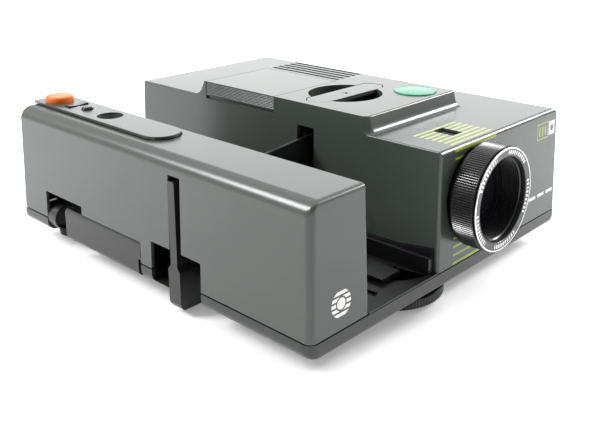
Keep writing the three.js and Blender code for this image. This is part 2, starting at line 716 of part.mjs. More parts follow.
// ---------- assembly ----------
add("base_tray", baseTray(), BASE_GREY);
add("tray_channel", trayChannel(), BLACK);
add("changer_cover", changerCover(), COVER_GREY);
add("grip_liner", gripLiner(), BLACK);
add("handle_liner", handleLiner(), BLACK);
add("changer_arm", changerArm(), DARK_GREY);
add("pusher_plate", pusherPlate(), BLACK);
add("rack_pinion", rackPinion(), IVORY);
add("carry_handle", carryHandle(), DARK_GREY);
add("handle_boss", handleBoss(), DARK_GREY);
add("control_panel", controlPanel(), COVER_GREY);
add("advance_button", pushButton(TRIGGER, 69, 80.6), ORANGE);
add("reverse_button", pushButton(REVERSE, 69, 78.2), BLACK);
add("focus_rocker", focusRocker(), BLACK);
add("remote_socket", remoteSocket(), BLACK);
add("panel_board", panelBoard(), BOARD);
add("drive_motor", driveMotor(), STEEL);
add("lamp_cover", lampCover(), COVER_GREY);
add("lamp_lid", lampLid(), COVER_GREY);
add("gate_insert", gateInsert(), COVER_GREY);
add("power_button", powerButton(), GREEN);
add("indicator_window", indicatorWindow(), BLACK);
add("lens_holder", lensHolder(), BLACK);
add("lens_barrel", lensBarrel(), BLACK);
add("focus_ring", focusRing(), BLACK);
add("front_bezel", frontBezel(), ALUMINIUM);
add("front_glass", glassDisc(22.1, -1.6, 2.4, 2), GLASS);
add("rear_glass", glassDisc(23.7, 60, 64.4, 1.8), GLASS);
add("gate_frame", gateFrame(), BLACK);
add("optics_carrier", opticsCarrier(), STEEL);
add("condenser_front", glassDisc(22, 124, 128, 3), GLASS);
add("heat_filter", box(124, 169.4, 137, 140, 18, 66), GLASS);
add("condenser_rear", glassDisc(22, 147, 151, 3), GLASS);
add("lamp_house", lampHouse(), ALUMINIUM);
add("lamp_socket", lampSocket(), IVORY);
add("lamp_bulb", lampBulb(), GLASS);
add("reflector", reflector(), ALUMINIUM);
add("fan_frame", fanFrame(), BLACK);
add("fan_wheel", fanWheel(), DARK_GREY);
add("fan_motor", fanMotor(), STEEL);
add("transformer_core", transformerCore(), STEEL);
add("transformer_coil", transformerCoil(), COPPER);
add("circuit_board", circuitBoard(), BOARD);
add("capacitor_large", capacitor(218, 118, 8, 34), BLACK);
add("capacitor_small", capacitor(232, 132, 6, 26), BLACK);
add("power_inlet", powerInlet(), BLACK);
add("tray_gear", trayGear(), IVORY);
add("foot_pad", footPad(), RUBBER);
add("foot_wheel", footWheel(), BLACK);
add("rear_foot_left", rearFoot(26, 262), RUBBER);
add("rear_foot_right", rearFoot(230, 262), RUBBER);

export default root;
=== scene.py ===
import json
import math

import bmesh
import bpy
from mathutils import Matrix, Vector


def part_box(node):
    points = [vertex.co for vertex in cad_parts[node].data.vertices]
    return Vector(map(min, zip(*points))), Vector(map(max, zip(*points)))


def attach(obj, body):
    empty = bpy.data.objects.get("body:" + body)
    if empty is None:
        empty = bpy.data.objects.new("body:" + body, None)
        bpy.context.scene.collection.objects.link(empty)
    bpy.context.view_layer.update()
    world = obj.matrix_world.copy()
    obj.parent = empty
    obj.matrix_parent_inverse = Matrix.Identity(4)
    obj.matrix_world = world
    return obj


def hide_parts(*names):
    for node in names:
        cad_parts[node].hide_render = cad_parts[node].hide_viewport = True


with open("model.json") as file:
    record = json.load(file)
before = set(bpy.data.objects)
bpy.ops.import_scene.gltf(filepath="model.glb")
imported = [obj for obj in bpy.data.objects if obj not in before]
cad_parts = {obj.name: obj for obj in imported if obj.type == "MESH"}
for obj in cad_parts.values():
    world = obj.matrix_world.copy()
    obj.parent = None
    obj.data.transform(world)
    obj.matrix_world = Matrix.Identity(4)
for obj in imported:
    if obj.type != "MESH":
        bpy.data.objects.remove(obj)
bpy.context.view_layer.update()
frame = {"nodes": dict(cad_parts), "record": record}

NODES = frame["nodes"]
BODY_OF = {n: b for b, ns in frame["record"]["behaviour"]["bodies"].items() for n in ns}
SLOT_OF = {s["node"]: s["material_slot"] for s in frame["record"]["subparts"]}

# Shapes are written in plan millimetres: x from the outer changer wall, y from the front,
# z from the seam between covers and base tray, whose top rim lies 0.15 mm under it.
TRAY_LOW, TRAY_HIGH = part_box("base_tray")
PLAN = Vector((TRAY_LOW[0], TRAY_LOW[1], TRAY_HIGH[2] + 0.00015))
MM = 0.001

BODY_W = 254.8
BODY_D = 286.0
CHANGER_W = 45.5
CHANGER_D = 280.0
LAMP_X = 109.6
COVER_H = 74.4
DECK_H = 85.4
DECK_FRONT = 56.4
DECK_REAR = 209.8
DECK_RIGHT = 209.4
BASE_H = 10.0
DRAFT = 0.022  # lean of every housing wall, per millimetre of height
WALL = 2.5
SEAM = 0.6
ALL_X = (-20, 300)  # spans that run past the body on both sides
ALL_Y = (-20, 320)
AXIS_X = 146.7
AXIS_Z = 41.8
GATE_Y = 107.5
RING_FRONT = -19.9
FOOT = (110.0, 36.0)
DISH = (151.5, 107.5, 25.5, 76.5)  # x, y, radius, floor
GRIP = (118.6, 188.0, 99.8, 117.2)  # x and y spans
POWER = (188.2, 75.5, 14.4)  # x, y, radius
TRIGGER = (26.2, 266.4, 9.7)
LID = (175.0, 137.0, 207.0, 75.5)  # hinge side, y span, underside
LID_GAP = 0.5
LAMP_EDGE = 5.6
PANEL = (13.5, 39.5, 136.9, 281.9, 12.9)  # x and y spans, radius of the front end


def plan(x, y, z):
    return PLAN + Vector((x, y, z)) * MM


# ---------- mesh helpers, all in plan millimetres until settle() ----------
def raw(name, verts, faces):
    mesh = bpy.data.meshes.new(name)
    mesh.from_pydata([tuple(v) for v in verts], [], faces)
    obj = bpy.data.objects.new(name, mesh)
    bpy.context.scene.collection.objects.link(obj)
    return obj


def from_bmesh(name, bm):
    bmesh.ops.recalc_face_normals(bm, faces=bm.faces)
    mesh = bpy.data.meshes.new(name)
    bm.to_mesh(mesh)
    bm.free()
    obj = bpy.data.objects.new(name, mesh)
    bpy.context.scene.collection.objects.link(obj)
    return obj


def applied(obj):
    """Turns the modifiers of an object into its mesh."""
    graph = bpy.context.evaluated_depsgraph_get()
    made = bpy.data.meshes.new_from_object(obj.evaluated_get(graph))
    old = obj.data
    obj.modifiers.clear()
    obj.data = made
    bpy.data.meshes.remove(old)
    return obj


def discard(obj):
    mesh = obj.data
    bpy.data.objects.remove(obj)
    bpy.data.meshes.remove(mesh)


def combine(obj, tools, operation):
    for tool in tools:
        mod = obj.modifiers.new("combine", "BOOLEAN")
        mod.operation = operation
        mod.solver = "EXACT"
        mod.object = tool
    applied(obj)
    for tool in tools:
        discard(tool)
    return obj


def cut(obj, *tools):
    return combine(obj, tools, "DIFFERENCE")


def join(obj, *tools):
    return combine(obj, tools, "UNION")


def box(x0, x1, y0, y1, z0, z1):
    verts = [(x, y, z) for z in (z0, z1) for y in (y0, y1) for x in (x0, x1)]
    faces = [(0, 2, 3, 1), (4, 5, 7, 6), (0, 1, 5, 4), (2, 6, 7, 3), (0, 4, 6, 2), (1, 3, 7, 5)]
    return raw("tool_box", verts, faces)


def placed(axis, u, v, w):
    """A point from coordinates across (u, v) and along (w) an axis; z: (x, y), y: (x, z), x: (y, z)."""
    if axis == "z":
        return (u, v, w)
    if axis == "y":
        return (u, w, v)
    return (w, u, v)


def rows_to_object(name, rows):
    """Bridges rings of points of equal length, and closes the two ends."""
    bm = bmesh.new()
    rings = [[bm.verts.new(p) for p in row] for row in rows]
    count = len(rows[0])
    for a, b in zip(rings, rings[1:]):
        for i in range(count):
            j = (i + 1) % count
            bm.faces.new((a[i], a[j], b[j], b[i]))
    bm.faces.new(rings[0])
    bm.faces.new(rings[-1])
    return from_bmesh(name, bm)


def prism(axis, outline, a, b):
    rows = [[placed(axis, u, v, w) for u, v in outline] for w in (a, b)]
    return rows_to_object("tool_prism", rows)


def circle(u, v, r, count=64):
    step = 2 * math.pi / count
    return [(u + r * math.cos(step * i), v + r * math.sin(step * i)) for i in range(count)]


def rod(axis, r, a, b, u, v, count=64):
    return prism(axis, circle(u, v, r, count), a, b)


def rounded(corners, steps=8):
    """An outline with round corners; each corner is (u, v) or (u, v, radius)."""
    points = []
    total = len(corners)
    for i, corner in enumerate(corners):
        here = Vector(corner[:2])
        radius = corner[2] if len(corner) > 2 else 0.0
        if not radius:
            points.append(tuple(here))
            continue
        back = (Vector(corners[i - 1][:2]) - here).normalized()
        ahead = (Vector(corners[(i + 1) % total][:2]) - here).normalized()
        half = back.angle(ahead) / 2
        centre = here + (back + ahead).normalized() * (radius / math.sin(half))
        start = here + back * (radius / math.tan(half)) - centre
        end = here + ahead * (radius / math.tan(half)) - centre
        turn = math.atan2(start.x * end.y - start.y * end.x, start.dot(end))
        for k in range(steps + 1):
            points.append(tuple(centre + Matrix.Rotation(turn * k / steps, 2) @ start))
    return points


def lathe(name, profile, axis, u, v, count=96):
    """A body of revolution; the profile lists (radius, position along the axis), axis to axis."""
    bm = bmesh.new()
    rings = []
    for r, w in profile:
        if r < 1e-6:
            rings.append([bm.verts.new(placed(axis, u, v, w))])
        else:
            rings.append([bm.verts.new(placed(axis, a, b, w)) for a, b in circle(u, v, r, count)])
    closed = profile[0] == profile[-1]
    if closed:
        for vert in rings.pop():
            bm.verts.remove(vert)
    pairs = list(zip(rings, rings[1:])) + ([(rings[-1], rings[0])] if closed else [])
    for a, b in pairs:
        for i in range(count):
            j = (i + 1) % count
            quad = [a[i % len(a)], a[j % len(a)], b[j % len(b)], b[i % len(b)]]
            bm.faces.new(list(dict.fromkeys(quad)))
    return from_bmesh(name, bm)


def block(name, span, radii, draft=0.0, steps=8):
    """A drafted box whose edges are rounded; radii maps pairs of faces, such as "LT", to millimetres."""
    x0, x1, y0, y1, z0, z1 = span
    bm = bmesh.new()
    faces = {key: [] for key in "LRFBDT"}
    for iz, z in enumerate((z0, z1)):
        inset = draft * (z1 - z0) * iz
        for iy, y in enumerate((y0 + inset, y1 - inset)):
            for ix, x in enumerate((x0 + inset, x1 - inset)):
                vert = bm.verts.new((x, y, z))
                for key in ("LR"[ix], "FB"[iy], "DT"[iz]):
                    faces[key].append(vert)
    owner = {}
    for key, (a, b, c, d) in faces.items():
        owner[bm.faces.new((a, b, d, c))] = key
    weight = bm.edges.layers.float.new("bevel_weight_edge")
    largest = max(radii.values())
    for edge in bm.edges:
        pair = {owner[face] for face in edge.link_faces}
        for key, radius in radii.items():
            if set(key) == pair:
                edge[weight] = radius / largest
    obj = from_bmesh(name, bm)
    mod = obj.modifiers.new("round", "BEVEL")
    mod.limit_method = "WEIGHT"
    mod.width = largest
    mod.segments = steps
    mod.use_clamp_overlap = False
    return applied(obj)


def dress(obj, edge, weld, clamp=True):
    """Small rounded edges and clean shading, for new pieces and for carried-over CAD nodes."""
    for poly in obj.data.polygons:
        poly.use_smooth = True
    mod = obj.modifiers.new("weld", "WELD")
    mod.merge_threshold = weld
    mod = obj.modifiers.new("planes", "DECIMATE")
    mod.decimate_type = "DISSOLVE"
    mod.angle_limit = math.radians(0.6)
    if edge:
        mod = obj.modifiers.new("edges", "BEVEL")
        mod.limit_method = "ANGLE"
        mod.angle_limit = math.radians(32)
        mod.width = edge
        mod.segments = 2
        mod.miter_outer = "MITER_ARC"
        mod.use_clamp_overlap = clamp


def even_normals(obj, keep_sharp):
    mod = obj.modifiers.new("normals", "WEIGHTED_NORMAL")
    mod.weight = 90
    mod.keep_sharp = keep_sharp


def mark_sharp(mesh, degrees):
    bm = bmesh.new()
    bm.from_mesh(mesh)
    for edge in bm.edges:
        edge.smooth = len(edge.link_faces) == 2 and edge.calc_face_angle() < math.radians(degrees)
    bm.to_mesh(mesh)
    bm.free()


def settle(obj, name, body, slot, look, replaces=(), edge=0.0):
    """Moves a plan-millimetre mesh into the frame, rounds its edges, and gives it its body and look."""
    dress(obj, edge, 0.002, clamp=False)
    applied(obj)
    mark_sharp(obj.data, 40)
    even_normals(obj, True)
    obj.data.transform(Matrix.Translation(PLAN) @ Matrix.Scale(MM, 4))
    obj.name = name
    obj.data.materials.clear()
    obj.data.materials.append(look)
    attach(obj, body)
    if replaces:
        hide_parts(*replaces)


def stand_in(obj, node, look, suffix="shell", **how):
    """A finer piece for one CAD node, on the same body."""
    settle(obj, f"{node}_{suffix}", BODY_OF[node], SLOT_OF[node], look, (node,), **how)


# ---------- materials ----------
class Look:
    """A node material: a Principled shader fed by procedural nodes in object coordinates."""

    def __init__(self, name, color, roughness, **sockets):
        self.material = bpy.data.materials.new(name)
        self.material.use_nodes = True
        self.tree = self.material.node_tree
        self.shader = self.tree.nodes["Principled BSDF"]
        self.coords = self.tree.nodes.new("ShaderNodeTexCoord").outputs["Object"]
        self.shader.inputs["Base Color"].default_value = (*color, 1)
        self.shader.inputs["Roughness"].default_value = roughness
        for key, value in sockets.items():
            self.shader.inputs[key.replace("_", " ")].default_value = value

    def node(self, kind, *inputs, **settings):
        made = self.tree.nodes.new("ShaderNode" + kind)
        for key, value in settings.items():
            setattr(made, key, value)
        for i, value in enumerate(inputs):
            if value is None:
                continue
            if isinstance(value, bpy.types.NodeSocket):
                self.tree.links.new(value, made.inputs[i])
            else:
                made.inputs[i].default_value = value
        return made

    def link(self, socket, name):
        self.tree.links.new(socket, self.shader.inputs[name])

    def math(self, operation, a, b=None, c=None):
        return self.node("Math", a, b, c, operation=operation).outputs[0]

    def noise(self, scale, detail=2.0, roughness=0.5, stretch=(1, 1, 1)):
        where = self.node("Mapping", self.coords, None, None, stretch).outputs[0]
        made = self.node("TexNoise", where)
        made.inputs["Scale"].default_value = scale
        made.inputs["Detail"].default_value = detail
        made.inputs["Roughness"].default_value = roughness
        return made.outputs["Fac"]

    def spread(self, value, low, high, start=0.3, end=0.7):
        return self.node("MapRange", value, start, end, low, high).outputs[0]

    def blend(self, factor, a, b):
        made = self.node("Mix", data_type="RGBA")
        for name, value in (("Factor", factor), ("A", a), ("B", b)):
            socket = [s for s in made.inputs if s.name == name and s.enabled][0]
            if isinstance(value, bpy.types.NodeSocket):
                self.tree.links.new(value, socket)
            else:
                socket.default_value = (*value, 1) if isinstance(value, tuple) else value
        return [s for s in made.outputs if s.enabled][0]

    def tint(self, color, other, factor):
        """Colours the surface with two colours mixed by a factor socket."""
        self.link(self.blend(factor, color, other), "Base Color")

    def bump(self, *layers):
        """Each layer is (height socket, distance in metres, strength)."""
        normal = None
        for height, distance, strength in layers:
            made = self.node("Bump", strength, distance)
            self.tree.links.new(height, made.inputs["Height"])
            if normal:
                self.tree.links.new(normal, made.inputs["Normal"])
            normal = made.outputs[0]
        self.link(normal, "Normal")


def lighter(color, factor):
    return tuple(min(1.0, c * factor) for c in color)


def moulded(name, color, roughness, grain=0.5, **sockets):
    """Moulded plastic: fine spark grain, faint flow shading and worn lighter edges."""
    look = Look(name, color, roughness, **sockets)
    broad = look.spread(look.noise(22, 3), 0.0, 1.0)
    body = look.blend(broad, lighter(color, 0.98), lighter(color, 1.02))
    edge = look.node("NewGeometry").outputs["Pointiness"]
    patches = look.spread(look.noise(180, 4), 0.2, 1)
    worn = look.math("MULTIPLY", look.spread(edge, 0.0, 0.4, 0.53, 0.62), patches)
    body = look.blend(worn, body, lighter(color, 1.7))
    look.body = body
    look.link(body, "Base Color")
    smear = look.math("MULTIPLY_ADD", look.noise(60, 4), 0.02, roughness - 0.01)
    look.link(look.math("MULTIPLY_ADD", look.noise(700, 2), 0.01, smear), "Roughness")
    look.bump(
        (look.noise(2600, 2, 0.6), 0.00004, grain),
        (look.noise(9, 1), 0.0006, 0.04),
    )
    return look


def inside_band(look, value, low, high):
    above = look.math("GREATER_THAN", value, low)
    return look.math("MULTIPLY", above, look.math("LESS_THAN", value, high))


def all_of(look, *masks):
    result = masks[0]
    for mask in masks[1:]:
        result = look.math("MULTIPLY", result, mask)
    return result


def any_of(look, *masks):
    result = masks[0]
    for mask in masks[1:]:
        result = look.math("MAXIMUM", result, mask)
    return result


def plan_axes(look):
    """The object coordinates as plan millimetres, one socket an axis."""
    shift = look.node("VectorMath", look.coords, tuple(PLAN), operation="SUBTRACT").outputs[0]
    scaled = look.node("VectorMath", shift, (1000, 1000, 1000), operation="MULTIPLY").outputs[0]
    return look.node("SeparateXYZ", scaled).outputs[:3]


def stripes(look, value, first, pitch, width, count):
    """A mask of parallel stripes; the first one is centred on first."""
    step = look.math("DIVIDE", look.math("SUBTRACT", value, first), pitch)
    off = look.math("ABSOLUTE", look.math("SUBTRACT", step, look.math("ROUND", step)))
    near = look.math("LESS_THAN", off, width / pitch / 2)
    return look.math("MULTIPLY", near, inside_band(look, step, -0.5, count - 0.5))


def printed(look, layers):
    """Prints flat inks over a moulded body; each layer is (mask, colour)."""
    color = look.body
    for mask, ink in layers:
        color = look.blend(mask, color, ink)
    look.link(color, "Base Color")


COVER = (0.043, 0.051, 0.046)
LIME = (0.24, 0.30, 0.012)
WHITE = (0.60, 0.61, 0.60)
COVER_ROUGHNESS = 0.26
COVER_GRAIN = 0.06


def lamp_cover_look():
    look = moulded("cover_grey_printed", COVER, COVER_ROUGHNESS, COVER_GRAIN)
    x, y, z = plan_axes(look)
    front = look.math("LESS_THAN", y, 4.5)
    wide = inside_band(look, x, 125.7, 171.2)
    bands = any_of(look, stripes(look, z, 1.6, 5.35, 1.6, 4), stripes(look, z, 67.4, 4.7, 1.6, 2))
    on_front = all_of(look, front, wide, bands)
    top = look.math("GREATER_THAN", z, 73.0)
    opening = look.math("MULTIPLY", inside_band(look, x, 145.0, 155.9), inside_band(look, y, 16.0, 31.3))
    around = look.math("SUBTRACT", inside_band(look, x, 128.0, 173.5), opening)
    on_top = all_of(look, top, around, stripes(look, y, 6.6, 4.38, 1.9, 7))
    frame_x = inside_band(look, x, 225.0, 240.0)
    frame_z = inside_band(look, z, 56.0, 67.4)
    outer = all_of(look, front, frame_x, frame_z)
    inner = all_of(look, inside_band(look, x, 225.8, 239.2), inside_band(look, z, 56.8, 66.6))
    rim = look.math("SUBTRACT", outer, look.math("MULTIPLY", outer, inner))
    bars = all_of(look, outer, inner, stripes(look, x, 228.6, 3.9, 1.7, 3), inside_band(look, z, 58.4, 65.0))
    badge = all_of(look, front, inside_band(look, x, 241.4, 249.4), inside_band(look, z, 57.0, 66.6))
    dot_x = look.math("POWER", look.math("SUBTRACT", x, 245.4), 2)
    dot_z = look.math("POWER", look.math("SUBTRACT", z, 61.8), 2)
    dot = look.math("GREATER_THAN", look.math("ADD", dot_x, dot_z), 5.0)
    badge = look.math("MULTIPLY", badge, dot)
    dashes = all_of(look, front, inside_band(look, z, 15.0, 17.2), stripes(look, x, 222.0, 12.0, 9.4, 3))
    printed(look, [
        (any_of(look, on_front, on_top, rim, bars), LIME),
        (any_of(look, badge, dashes), WHITE),
    ])
    return look.material


def changer_cover_look():
    look = moulded("cover_grey_badge", COVER, COVER_ROUGHNESS, COVER_GRAIN)
    x, y, z = plan_axes(look)
    front = look.math("LESS_THAN", y, 4.0)
    dx = look.math("SUBTRACT", x, 23.2)
    dz = look.math("SUBTRACT", z, 15.4)
    reach = look.math("SQRT", look.math("ADD", look.math("POWER", dx, 2), look.math("POWER", dz, 2)))
    disc = look.math("LESS_THAN", reach, 7.6)
    bars = stripes(look, dz, -6.0, 3.0, 1.9, 5)
    core = look.math("LESS_THAN", reach, 3.2)
    ring = look.math("MULTIPLY", look.math("GREATER_THAN", reach, 4.1), bars)
    printed(look, [(all_of(look, front, disc, any_of(look, core, ring)), WHITE)])
    return look.material


def metal(name, color, roughness, grain=(1, 1, 40)):
    """Bare metal with a drawn grain along one axis and light stains."""
    look = Look(name, color, roughness, Metallic=1.0)
    lines = look.noise(300, 4, 0.6, grain)
    look.tint(lighter(color, 0.8), lighter(color, 1.1), look.spread(lines, 0, 1))
    look.link(look.spread(lines, roughness * 0.7, roughness * 1.3), "Roughness")
    look.bump((lines, 0.00003, 0.4))
    return look.material


def clear(name, color):
    look = Look(name, color, 0.03, Transmission_Weight=0.9, IOR=1.52)
    look.link(look.spread(look.noise(60, 3), 0.02, 0.09), "Roughness")
    look.bump((look.noise(500, 2), 0.00001, 0.1))
    return look.material


def coated_glass(name):
    """Dark lens glass with a real faint blue coating, whose blue is a painted reflection that grows towards
    grazing view.
    """
    look = Look(name, (0.004, 0.004, 0.005), 0.03, Specular_IOR_Level=0.35)
    # painted reflection: the coating's blue shows more where the glass is seen edge-on
    painted_reflection = look.node("LayerWeight", 0.35).outputs["Facing"]
    look.tint((0.004, 0.004, 0.005), (0.010, 0.010, 0.016), painted_reflection)
    look.link(look.spread(look.noise(80, 3), 0.02, 0.06), "Roughness")
    return look.material


def power_button_look():
    """Translucent turquoise cap with a slightly deeper rim."""
    color = (0.045, 0.25, 0.14)
    look = Look("green_cap", color, 0.3, Subsurface_Weight=0.5, Specular_IOR_Level=0.25)
    look.shader.inputs["Subsurface Radius"].default_value = (0.3, 1.0, 0.8)
    look.shader.inputs["Subsurface Scale"].default_value = 0.004
    look.tint(lighter(color, 0.85), lighter(color, 1.15), look.spread(look.noise(70, 3), 0, 1))
    look.link(look.spread(look.noise(400, 3), 0.18, 0.30), "Roughness")
    look.bump((look.noise(1800, 2), 0.00002, 0.25))
    return look.material


def trigger_look():
    color = (0.62, 0.13, 0.012)
    look = Look("orange_cap", color, 0.35, Subsurface_Weight=0.25, Specular_IOR_Level=0.3)
    look.shader.inputs["Subsurface Scale"].default_value = 0.003
    look.tint(lighter(color, 0.9), lighter(color, 1.1), look.spread(look.noise(90, 3), 0, 1))
    look.link(look.spread(look.noise(300, 3), 0.25, 0.4), "Roughness")
    look.bump((look.noise(2000, 2), 0.00003, 0.3))
    return look.material


def bezel_look():
    """Black enamelled ring with a bare bright rim and small generic index ticks around it."""
    look = Look("bezel_enamel", (0.02, 0.02, 0.022), 0.3)
    x, y, z = plan_axes(look)
    dx = look.math("SUBTRACT", x, AXIS_X)
    dz = look.math("SUBTRACT", z, AXIS_Z)
    reach = look.math("SQRT", look.math("ADD", look.math("POWER", dx, 2), look.math("POWER", dz, 2)))
    turn = look.math("ARCTAN2", dz, dx)
    fine = look.math("MULTIPLY", turn, 36 / math.pi)
    off = look.math("ABSOLUTE", look.math("SUBTRACT", fine, look.math("ROUND", fine)))
    group = look.math("GREATER_THAN", look.math("SINE", look.math("MULTIPLY_ADD", turn, 5, 2.44)), -0.45)
    ticks = all_of(look, look.math("LESS_THAN", off, 0.26), inside_band(look, reach, 27.7, 30.0), group)
    rim = look.math("MULTIPLY", look.math("GREATER_THAN", reach, 30.85), look.math("LESS_THAN", y, -19.2))
    color = look.blend(ticks, (0.02, 0.02, 0.022), (0.75, 0.75, 0.74))
    color = look.blend(rim, color, (0.80, 0.81, 0.82))
    look.link(color, "Base Color")
    look.link(rim, "Metallic")
    look.link(look.math("MULTIPLY_ADD", rim, -0.04, 0.3), "Roughness")
    look.bump((look.noise(1500, 2), 0.00002, 0.2))
    return look.material


def winding_look():
    """Enamelled wire wound around the vertical axis."""
    look = Look("winding", (0.42, 0.13, 0.05), 0.35, Metallic=0.6)
    wave = look.node("TexWave", look.coords, bands_direction="Z")
    wave.inputs["Scale"].default_value = 420
    wave.inputs["Distortion"].default_value = 0.6
    look.tint((0.30, 0.08, 0.03), (0.55, 0.20, 0.08), wave.outputs["Fac"])
    look.bump((wave.outputs["Fac"], 0.0003, 0.8))
    return look.material


def board_look():
    """Solder resist with copper tracks showing through it."""
    look = Look("solder_resist", (0.02, 0.12, 0.05), 0.3, Coat_Weight=0.3)
    brick = look.node("TexBrick", look.coords)
    brick.inputs["Scale"].default_value = 160
    brick.inputs["Mortar Size"].default_value = 0.03
    track = look.math("MULTIPLY", brick.outputs["Fac"], look.spread(look.noise(120, 1), 0, 1, 0.45, 0.5))
    look.tint((0.02, 0.12, 0.05), (0.06, 0.26, 0.10), track)
    look.bump((track, 0.00005, 0.6))
    return look.material


def rubber_look():
    look = Look("foot_rubber", (0.018, 0.018, 0.018), 0.85)
    look.tint((0.014, 0.014, 0.014), (0.035, 0.034, 0.032), look.spread(look.noise(150, 4), 0, 1))
    look.bump((look.noise(900, 3), 0.0002, 0.5))
    return look.material


def plastic(name, color, roughness, grain, shine):
    return moulded(name, color, roughness, grain, Specular_IOR_Level=shine).material


LOOKS = {
    "cover_grey": moulded("cover_grey", COVER, COVER_ROUGHNESS, COVER_GRAIN).material,
    "base_grey": moulded("base_grey", (0.014, 0.016, 0.014), 0.36, grain=0.4).material,
    "dark_grey": plastic("dark_grey", (0.010, 0.010, 0.010), 0.30, 0.1, 0.42),
    "black_plastic": plastic("black_plastic", (0.007, 0.007, 0.008), 0.28, 0.12, 0.42),
    "ring_black": plastic("ring_black", (0.015, 0.015, 0.016), 0.24, 0.1, 0.9),
    "gloss_black": plastic("gloss_black", (0.008, 0.008, 0.009), 0.14, 0.1, 0.2),
    "rubber": rubber_look(),
    "steel": metal("sheet_steel", (0.50, 0.51, 0.52), 0.38),
    "black_steel": plastic("black_paint", (0.010, 0.010, 0.011), 0.5, 0.5, 0.3),
    "aluminium": metal("sheet_aluminium", (0.75, 0.76, 0.77), 0.3, (40, 1, 1)),
    "bezel": bezel_look(),
    "orange": trigger_look(),
    "green": power_button_look(),
    "glass": clear("optical_glass", (0.94, 0.98, 0.97)),
    "ivory": moulded("nylon", (0.62, 0.58, 0.48), 0.4, Subsurface_Weight=0.1).material,
    "ceramic": moulded("ceramic", (0.62, 0.60, 0.54), 0.7, grain=1.0).material,
    "board": board_look(),
    "copper": winding_look(),
}
LENS_GLASS = coated_glass("lens_glass")
MATT_BLACK = plastic("matt_black", (0.008, 0.008, 0.009), 0.35, 0.5, 0.15)


# ---------- covers ----------
def open_back(name, x0, x1, depth, inset, radii, back):
    """A drafted housing on the seam; its rear wall leans, with an edge radius of back."""
    low = -8.0
    spread = DRAFT * (SEAM - low)
    span = (x0 + inset - spread, x1 - inset + spread, inset - spread, depth + 20, low, COVER_H - inset)
    body = block(name, span, radii, DRAFT, 12)
    wall = [(depth - inset - DRAFT * (z - SEAM), z) for z in (-20, 120)]
    cut(body, prism("x", wall + [(depth + 60, 120), (depth + 60, -20)], *ALL_X))
    if inset:
        return body
    mod = body.modifiers.new("back", "BEVEL")
    mod.limit_method = "ANGLE"
    mod.angle_limit = math.radians(50)
    mod.width = back
    mod.segments = 4
    mod.use_clamp_overlap = False
    applied(body)
    return cut(body, box(*ALL_X, *ALL_Y, -20, SEAM))


def changer_block(name, inset):
    radii = {"LT": 8.4 - inset, "RT": 1.4, "FT": 3.0, "LF": 4.2 - inset, "RF": 1.8}
    return open_back(name, 0, CHANGER_W, CHANGER_D, inset, radii, 1.3)


def changer_cover():
    cover = changer_block("changer_cover_shell", 0)
    x0, x1, y0, y1, end = PANEL
    recess = rounded([(x0, y0, end), (x1, y0, end), (x1, y1), (x0, y1)])
    cut(
        cover,
        changer_block("tool_cavity", WALL),
        box(-1, 12, 101, 111.4, -1, 63.5),  # lever slot
        box(-1, 12, 84, 129.4, -1, 18),  # finger opening
        box(-1, 12, 140.4, 226.3, -1, 14),  # handle opening
        box(-1, 12, 205, 249.3, -1, 19.6),  # finger notch
        box(36, 50, GATE_Y - 3, GATE_Y + 3, 11, 66.6),  # pusher slot in the channel wall
        box(15.6, 37, 141.4, 276.6, 60, 80),  # well under the control panel
        prism("z", recess, 73.6, 80),
    )
    stand_in(cover, "changer_cover", changer_cover_look(), edge=0.35)


def deck_rows(inset, low):
    """Rings of the raised deck from its hidden foot to its top: steep sides on a hollow foot."""
    flare = [(5.6, low), (5.6, COVER_H), (4.4, 74.6), (3.3, 75.2), (2.3, 76.1), (1.5, 77.3), (1.0, 78.6)]
    flare += [(0.7, 80.5), (0.0, 84.0), (-0.2, 84.7), (-0.7, 85.2), (-1.4, DECK_H)]
    rear = [11.0, 11.0, 9.0, 7.2, 5.6, 4.3, 3.2, 2.2, 0.6, 0.3, 0.0, -0.6]
    rows = []
    for (out, z), back in zip(flare, rear):
        height = z if z == low else z - inset
        left = LAMP_X + DRAFT * (height - SEAM) + inset
        front = DECK_FRONT - out + inset
        right = DECK_RIGHT + 0.55 * out - inset
        behind = DECK_REAR + back - inset
        outline = rounded([
            (left, front, 4.6 + 0.25 * out), (right, front, 2.2 + 0.2 * out),
            (right, behind, 2.4), (left, behind, 1.0),
        ])
        rows.append([(x, y, height) for x, y in outline])
    return rows


def lamp_block(name, inset):
    """The housing with its raised deck; outside, the right top edge is rounded over the front corner too."""
    radii = {"LT": 0.9, "RT": LAMP_EDGE - inset * 0.8, "FT": 3.0, "LF": 2.0, "RF": 1.8}
    body = open_back(name, LAMP_X, BODY_W, BODY_D, inset, radii, 1.4)
    if not inset:
        spare = 0.02
        top = COVER_H + spare
        low, high = [BODY_W + spare - DRAFT * (z - SEAM) for z in (-20, COVER_H)]
        corners = [(90, -20), (low, -20), (high, top, LAMP_EDGE), (90, top)]
        combine(body, [prism("y", rounded(corners, 12), *ALL_Y)], "INTERSECT")
    return join(body, rows_to_object("tool_deck", deck_rows(inset, 70.0 - inset)))


def grip_seat(grow):
    """The outline of the grip bar's seat, a long octagon."""
    x0, x1, y0, y1 = GRIP[0] - grow, GRIP[1] + grow, GRIP[2] - grow, GRIP[3] + grow
    return [
        (x0, y0 + 4.4), (x0 + 5, y0), (x1 - 5, y0), (x1, y0 + 4.4),
        (x1, y1 - 4.4), (x1 - 5, y1), (x0 + 5, y1), (x0, y1 - 4.4),
    ]


